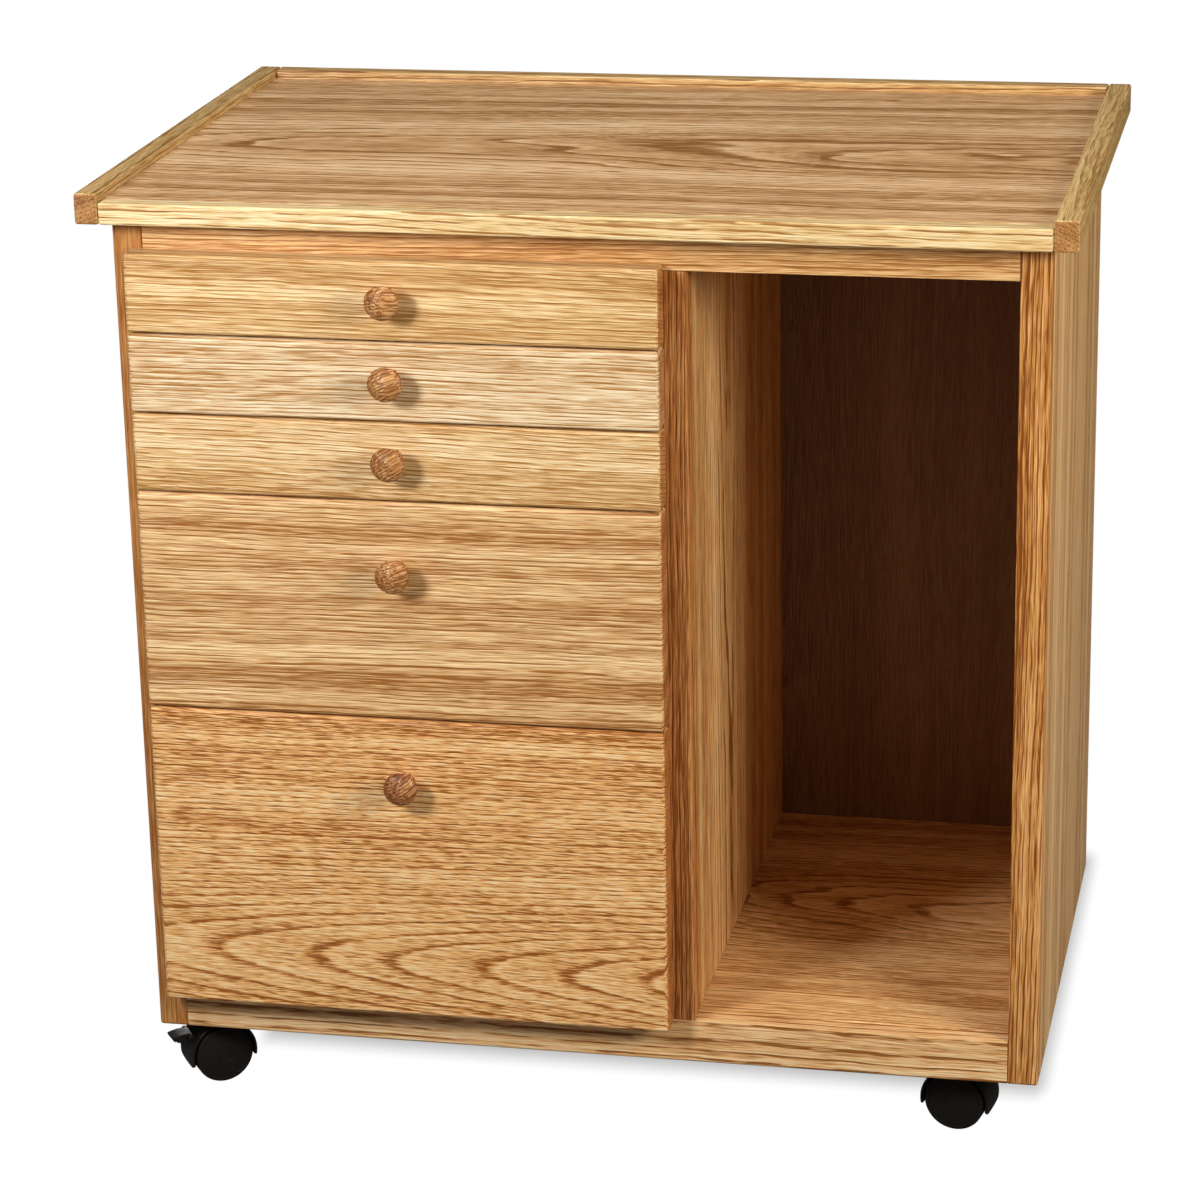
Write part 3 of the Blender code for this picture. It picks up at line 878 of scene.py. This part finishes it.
boxes = {}
for number in range(1, 6):
    if number in same_fronts[1:]:
        shift = Matrix.Translation(centre_of(f"drawer_{number}_box") - centre_of("drawer_1_box"))
        boxes[number] = {
            side: copy_piece(board, f"drawer_{number}_box_{side}", shift) for side, board in boxes[1].items()
        }
    else:
        boxes[number] = box_boards(number)
    for side, board in boxes[number].items():
        finish = pale_along_y if side in ("left", "right") else pale_along_x
        dress(board, finish, f"drawer_{number}", [f"drawer_{number}_box"])
print("box boards:", sum(len(boards) for boards in boxes.values()))

# %% Finish what the drawers run on
thin_ply = oak(
    "thin_plywood", (0.0, 0.05, 0.1), (1, 0.02, 0.01), ring=0.012, wander=0.05,
    light="#F0D9B0", middle="#E0C08E", dark="#BF945E", lines=0.35, bands=0.5, gloss=0.5,
)
for number in range(1, 6):
    finish_plain(f"drawer_{number}_bottom", thin_ply)
    for side in ("left", "right"):
        node = f"runner_{number}_{side}"
        runner = new_block(f"{node}_strip", *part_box(node))
        round_sharp_edges(runner, runner_round)
        shade_evenly(runner)
        dress(runner, pale_along_y, "cabinet", [node])
for node in ("front_caster_rail", "rear_caster_rail"):
    finish_plain(node, pale_along_x)
print("runners, trays and rails finished")

# %% [markdown]
# ## Small metal
# A screw through each front holds its knob, and its head is seen inside the drawer. Fine brads hold
# the back panel. Both are turned like the knobs. The screw's slot is cut by a Boolean modifier, which
# subtracts a small block. Steel needs a metallic shader, and a fine noise in its roughness keeps it
# from looking like a mirror.

# %% Steel finish
def steel(name, colour, rough):
    material, tree, shader, place = new_material(name)
    shader.inputs["Base Color"].default_value = paint(colour)
    shader.inputs["Metallic"].default_value = 1.0
    specks = noise(tree, place, 2600.0, 2.0)
    tree.links.new(spread(tree, specks, 0.3, 0.7, rough - 0.08, rough + 0.08), shader.inputs["Roughness"])
    bump = add_node(tree, "ShaderNodeBump", {"Height": specks, "Strength": 0.2, "Distance": 0.00005})
    tree.links.new(bump.outputs[0], shader.inputs["Normal"])
    return material


zinc = steel("zinc_plate", "#B9B7B0", 0.38)
print("steel ready")

# %% Turn the screws and brads
screw_radius = 0.0042
screw_height = 0.0017
slot_width = 0.0009
slot_depth = 0.0009
brad_radius = 0.0014
brad_height = 0.0004
brad_spacing = 0.085
brad_inset = 0.03


def turned_head(name, centre, radius, height, sides):
    """A low domed head that stands up along +Y."""
    shares = ((0, 0), (1, 0), (1, 0.3), (0.92, 0.62), (0.62, 0.9), (0.3, 0.99), (0, 1))
    points = [centre + Vector((radius * across, height * up, 0)) for across, up in shares]
    head = turn_outline(name, points, centre, (0, 1, 0), sides)
    shade_evenly(head, 50)
    return head


box_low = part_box("drawer_1_box")[0]
knob_middle = centre_of("drawer_1_knob")
screw_seat = Vector((knob_middle.x, box_low.y + box_wall, knob_middle.z))
first_screw = turned_head("drawer_1_screw", screw_seat, screw_radius, screw_height, 32)
cut_middle = screw_seat + Vector((0, screw_height, 0))
half_cut = Vector((screw_radius * 2, slot_depth, slot_width / 2))
cutter = new_block("slot_cutter", cut_middle - half_cut, cut_middle + half_cut)
cut_with(first_screw, cutter, "DIFFERENCE")
for number in range(1, 6):
    shift = Matrix.Translation(centre_of(f"drawer_{number}_knob") - knob_middle)
    screw = first_screw if number == 1 else copy_piece(first_screw, f"drawer_{number}_screw", shift)
    dress(screw, zinc, f"drawer_{number}")

back_low, back_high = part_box("back_panel")
divider_x = centre_of("divider_panel").x
floor_z = centre_of("bottom_panel").z


def brad_steps(low, high):
    """Even steps between two edges of the back panel, the first and last a little way in."""
    used = high - low - 2 * brad_inset
    count = round(used / brad_spacing)
    return [low + brad_inset + used * step / count for step in range(count + 1)]


brad_places = [Vector((divider_x, back_high.y, up)) for up in brad_steps(back_low.z, back_high.z)]
brad_places += [Vector((across, back_high.y, floor_z)) for across in brad_steps(back_low.x, back_high.x)]
first_brad = turned_head("brad_1", brad_places[0], brad_radius, brad_height, 16)
dress(first_brad, zinc, "cabinet")
for index, spot in enumerate(brad_places[1:], 2):
    brad = copy_piece(first_brad, f"brad_{index}", Matrix.Translation(spot - brad_places[0]))
    dress(brad, zinc, "cabinet")
print("screws: 5, brads:", len(brad_places))

# %% [markdown]
# ## Casters
# Each caster is modelled once in its own frame: the swivel axis stands at the origin and the wheels
# trail behind it, towards -X. The hood is a small rounded profile, filled as a face and spun round the
# axle. Spinning a face instead of a line gives a solid with closed ends. One end of the hood runs on
# into a narrow claw. The finished caster is copied to each corner by turning its mesh to the way that
# caster points.

# %% Caster sizes
caster_trail = 0.017
caster_height = 0.062
wheel_radius = 0.026
wheel_inner = 0.0035
hood_inner_radius = 0.0275
hood_outer_radius = 0.0300
hood_half_width = 0.0170
skirt_height = 0.0205
spine_half = 0.0030
boss_radius = 0.0105
boss_depth = 0.020
stem_radius = 0.0055
plate_thickness = 0.0012
axle_radius = 0.0029
turned_ease = 0.0008
plate_gap = 0.0003
mm = 0.001
axle_centre = Vector((-caster_trail, 0, wheel_radius))
casters = {
    "front_left": (Vector((-0.3275, -0.1823, 0)), 36.0),
    "front_right": (Vector((0.3275, -0.1823, 0)), -10.7),
    "rear_left": (Vector((-0.3275, 0.2161, 0)), 14.0),
    "rear_right": (Vector((0.3275, 0.2161, 0)), -24.0),
}
print("casters:", list(casters))

# %% Black nylon
def nylon(name, colour, rough):
    """Moulded black plastic with the faint grain of its mould."""
    material, tree, shader, place = new_material(name)
    cloud = noise(tree, place, 90.0, 3.0)
    shade = paint(colour)
    dim = tuple(channel * 0.7 for channel in shade[:3]) + (1,)
    tint = add_node(tree, "ShaderNodeMix", {"Factor": cloud, "A": dim, "B": shade}, data_type="RGBA")
    tree.links.new(tint.outputs["Result"], shader.inputs["Base Color"])
    grain = noise(tree, place, 2200.0, 2.0)
    tree.links.new(spread(tree, grain, 0.3, 0.7, rough - 0.06, rough + 0.08), shader.inputs["Roughness"])
    shader.inputs["Specular IOR Level"].default_value = 0.22
    bump = add_node(tree, "ShaderNodeBump", {"Height": grain, "Strength": 0.15, "Distance": 0.00006})
    tree.links.new(bump.outputs[0], shader.inputs["Normal"])
    return material


hood_black = nylon("black_nylon", "#1A1612", 0.46)
tread_black = nylon("black_tread", "#191511", 0.62)
print("nylon ready")

# %% Spin the hood
def spun_arch(name, inner, outer, half_width, ease, first, last, steps):
    """A rounded rectangle between two radii, spun round the axle from one angle to another."""
    select_only()
    upright = (math.radians(90), 0, math.radians(90))
    bpy.ops.mesh.primitive_plane_add(size=1, location=(0, 0, 0), rotation=upright)
    arch = bpy.context.object
    arch.name = arch.data.name = name
    bpy.ops.object.transform_apply(location=True, rotation=True, scale=True)
    bpy.ops.object.mode_set(mode="EDIT")
    bpy.ops.mesh.select_mode(type="VERT")
    bpy.ops.mesh.select_all(action="SELECT")
    bpy.ops.transform.resize(value=(1, half_width * 2, outer - inner), center_override=(0, 0, 0))
    bpy.ops.mesh.bevel(offset=ease, offset_type="OFFSET", segments=3, affect="VERTICES")
    bpy.ops.mesh.select_all(action="SELECT")
    bpy.ops.transform.translate(value=axle_centre + Vector((0, 0, (inner + outer) / 2)))
    bpy.ops.transform.rotate(
        value=math.radians(first - 90), orient_axis="Y", orient_type="GLOBAL", center_override=axle_centre
    )
    bpy.ops.mesh.spin(
        steps=steps, angle=math.radians(last - first), center=axle_centre, axis=(0, 1, 0)
    )
    bpy.ops.mesh.select_all(action="SELECT")
    bpy.ops.mesh.normals_make_consistent(inside=False)
    close_mesh()
    return arch


hood_steps = 48
hood_ease = 0.0009
spine_inner_radius = 0.005
spine_ease = 0.0004
below_axle = math.degrees(math.asin((wheel_radius - skirt_height) / hood_inner_radius))
arch_ends = (-below_axle, 180 + below_axle)
# Each step of the claw: how far it turns in degrees, and how wide and thick it still is
claw_steps = ((5, 0.86, 0.85), (5, 0.66, 0.66), (4, 0.40, 0.40))


def caster_hood(name, claw):
    """The hood. Claw is 1 or -1 for the end of it, along X, that runs on into a point."""
    radii = (hood_inner_radius, hood_outer_radius)
    hood = spun_arch(name, *radii, hood_half_width, hood_ease, *arch_ends, hood_steps)

    def is_claw_end(spot, normal):
        return normal.z < -0.9 and spot.z < wheel_radius and (spot.x + caster_trail) * claw > 0

    open_mesh(hood, "FACE")
    pick_faces(hood, is_claw_end)
    for turn, width, thickness in claw_steps:
        bpy.ops.mesh.extrude_region_move(TRANSFORM_OT_translate={"value": (0, 0, 0)})
        bpy.ops.transform.rotate(
            value=-claw * math.radians(turn), orient_axis="Y", orient_type="GLOBAL",
            center_override=axle_centre,
        )
        shape = bmesh.from_edit_mesh(hood.data)
        chosen = [corner.co for corner in shape.verts if corner.select]
        farthest = max(chosen, key=lambda spot: (spot - axle_centre).length)
        bpy.ops.transform.resize(value=(thickness, width, 1), center_override=(farthest.x, 0, farthest.z))
    close_mesh()
    return hood


def turned_rod(name, points, axis):
    """A turned piece whose outline lies in the plane of the axis and X."""
    return turn_outline(name, points, points[0], axis, 40)


def join_pieces(name, pieces):
    select_only(pieces[0])
    for piece in pieces[1:]:
        piece.select_set(True)
    bpy.ops.object.join()
    joined = bpy.context.object
    joined.name = joined.data.name = name
    return joined


stem_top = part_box("caster_rear_left_housing")[1].z
boss_top = caster_height - plate_thickness - plate_gap
boss_outline = (
    (0, boss_top - boss_depth), (boss_radius, boss_top - boss_depth), (boss_radius, boss_top - turned_ease),
    (boss_radius - turned_ease, boss_top), (stem_radius, boss_top), (stem_radius, stem_top - turned_ease),
    (stem_radius - turned_ease, stem_top), (0, stem_top),
)
axle_in_wheel = 0.0105
half_axle = wheel_inner + axle_in_wheel
axle_outline = ((0, -half_axle), (axle_radius, -half_axle), (axle_radius, half_axle), (0, half_axle))
hub_inner_radius = 0.0026
hub_outer_radius = 0.007
hub_steps = 32
# A hair less than a full turn, so that the ring keeps its two end faces
hub_ends = (0, 359.9)


def caster_housing(name, claw):
    """The hood, the spine between the wheels, the boss with its stem, and the axle."""
    hood = caster_hood(name, claw)
    spine_radii = (spine_inner_radius, hood_inner_radius + mm)
    spine = spun_arch(f"{name}_spine", *spine_radii, spine_half, spine_ease, *arch_ends, hood_steps)
    boss = turned_rod(f"{name}_boss", [Vector((across, 0, up)) for across, up in boss_outline], (0, 0, 1))
    axle_points = [axle_centre + Vector((across, along, 0)) for across, along in axle_outline]
    axle = turned_rod(f"{name}_axle", axle_points, (0, 1, 0))
    hub_radii = (hub_inner_radius, hub_outer_radius)
    hub = spun_arch(f"{name}_hub", *hub_radii, spine_half, spine_ease, *hub_ends, hub_steps)
    return join_pieces(name, [hood, spine, boss, axle, hub])


housing = caster_housing("caster_housing", 1)
braked_housing = caster_housing("braked_housing", -1)
print("housing:", len(housing.data.polygons), "faces")

# %% Turn the wheels
# How far from the axle and how far out, in millimetres, from the hub cap over the tread to the inside
wheel_outline = (
    (0, 16.1), (5.4, 15.9), (5.8, 15.4), (6.5, 15.4), (6.9, 15.8), (13.0, 15.4), (18.0, 14.9),
    (21.0, 14.5), (21.3, 14.1), (21.9, 14.1), (22.2, 14.5), (23.6, 14.5), (25.2, 13.8), (26.0, 12.4),
    (26.0, 9.0), (25.7, 8.6), (25.7, 8.0), (26.0, 7.6), (26.0, 2.2), (25.3, 0.6), (24.0, 0.0),
    (22.2, 0.0), (21.4, 2.6), (8.4, 3.2), (7.6, 0.0), (3.2, 0.0), (3.2, 11.0), (0, 11.0),
)
wheel_sides = 64
side_wheel = turn_outline(
    "wheel",
    [axle_centre + Vector((across * mm, wheel_inner + along * mm, 0)) for across, along in wheel_outline],
    axle_centre, (0, 1, 0), wheel_sides,
)
shade_evenly(side_wheel, 35)
print("wheel:", len(side_wheel.data.polygons), "faces")

# %% Model the brake
brake_angle = math.radians(146)
barrel_radius = 0.003
brake_half_width = 0.008
lug_thickness = 0.003
lug_gap = 0.0003
pivot_away = hood_outer_radius + lug_gap + barrel_radius
brake_direction = Vector((math.cos(brake_angle), 0, math.sin(brake_angle)))
brake_pivot = axle_centre + brake_direction * pivot_away
# The lever's side in millimetres from its pin: the pad with its ridges, and the round barrel
lever_outline = (
    (0, 3), (-8.2, 3.0), (-12.5, 2.3), (-16.3, 1.4), (-16.5, 0), (-15.6, -1.6), (-14.3, -2.7),
    (-13.2, -2.4), (-11.6, -4.2), (-10.3, -3.9), (-8.4, -5.9), (-4.6, -5.0), (-3.2, -1.8), (-2.6, -1.5),
    (-1.5, -2.6), (0, -3), (1.5, -2.6), (2.6, -1.5), (3, 0), (2.6, 1.5), (1.5, 2.6),
)
lever_ease = 0.0006
foot_reach = 0.0024
foot_half_height = 0.0022
foot_ease = 0.0004

lever = draw_chain(
    "caster_front_left_lever",
    [brake_pivot + Vector((along * mm, -brake_half_width, up * mm)) for along, up in lever_outline],
)
bpy.ops.mesh.edge_face_add()
close_mesh()
open_mesh(lever, "FACE")
bpy.ops.mesh.select_all(action="SELECT")
bpy.ops.mesh.extrude_region_move(TRANSFORM_OT_translate={"value": (0, brake_half_width * 2, 0)})
bpy.ops.mesh.select_all(action="SELECT")
bpy.ops.mesh.normals_make_consistent(inside=False)
close_mesh()
round_edges(lever, lever_ease, 3, lambda spot, along: abs(along.y) < 0.1)
shade_evenly(lever, 45)

lug_outline = ((0, 0), (2.9, 0), (3.0, 0.1), (3.0, 2.4), (2.4, 3.0), (1.7, 3.0), (1.5, 3.4), (0, 3.6))
lugs = []
for side in (-1, 1):
    seat = brake_pivot + Vector((0, side * (brake_half_width + lug_gap), 0))
    points = [seat + Vector((across * mm, side * out * mm, 0)) for across, out in lug_outline]
    lugs.append(turned_rod(f"lug_{side}", points, (0, 1, 0)))
    half_foot = Vector((foot_reach, lug_thickness / 2, foot_half_height))
    foot = new_block(f"foot_{side}", -half_foot, half_foot)
    round_sharp_edges(foot, foot_ease)
    turn = Matrix.Rotation(-brake_angle, 4, "Y")
    foot_middle = seat + Vector((0, side * lug_thickness / 2, 0)) - brake_direction * foot_reach
    foot.data.transform(Matrix.Translation(foot_middle) @ turn)
    lugs.append(foot)
braked_housing = join_pieces("braked_housing", [braked_housing, *lugs])
print("lever:", len(lever.data.polygons), "faces")
print("braked housing:", len(braked_housing.data.polygons), "faces")

# %% Set the casters under the corners
for piece in (housing, braked_housing):
    shade_evenly(piece)
plate_outline = ((0, 0), (11.6, 0), (12.2, 0.3), (12.5, 1.2), (0, 1.2))
plate_low = caster_height - plate_thickness
plate_points = [Vector((across * mm, 0, plate_low + up * mm)) for across, up in plate_outline]
plate = turned_rod("socket_plate", plate_points, (0, 0, 1))
shade_evenly(plate)
to_axle = Matrix.Translation(axle_centre)
half_turn = to_axle @ Matrix.Rotation(math.pi, 4, "Z") @ to_axle.inverted()
for corner, (spot, heading) in casters.items():
    stand = Matrix.Translation(spot) @ Matrix.Rotation(math.radians(heading), 4, "Z")
    body = f"caster_{corner}"
    source = braked_housing if corner == "front_left" else housing
    dress(copy_piece(source, f"{body}_hood", stand), hood_black, body, [f"{body}_housing"])
    for letter, flip in (("a", half_turn), ("b", Matrix())):
        wheel = copy_piece(side_wheel, f"{body}_tyre_{letter}", stand @ flip)
        dress(wheel, tread_black, f"{body}_wheel_{letter}", [f"{body}_wheel_{letter}"])
    dress(copy_piece(plate, f"{body}_plate", Matrix.Translation(spot)), zinc, "cabinet")
spot, heading = casters["front_left"]
lever.data.transform(Matrix.Translation(spot) @ Matrix.Rotation(math.radians(heading), 4, "Z"))
dress(lever, hood_black, "caster_front_left_brake", ["caster_front_left_brake_lever"])
for pattern in (housing, braked_housing, side_wheel, plate):
    bpy.data.objects.remove(pattern)
print("casters set under", len(casters), "corners")
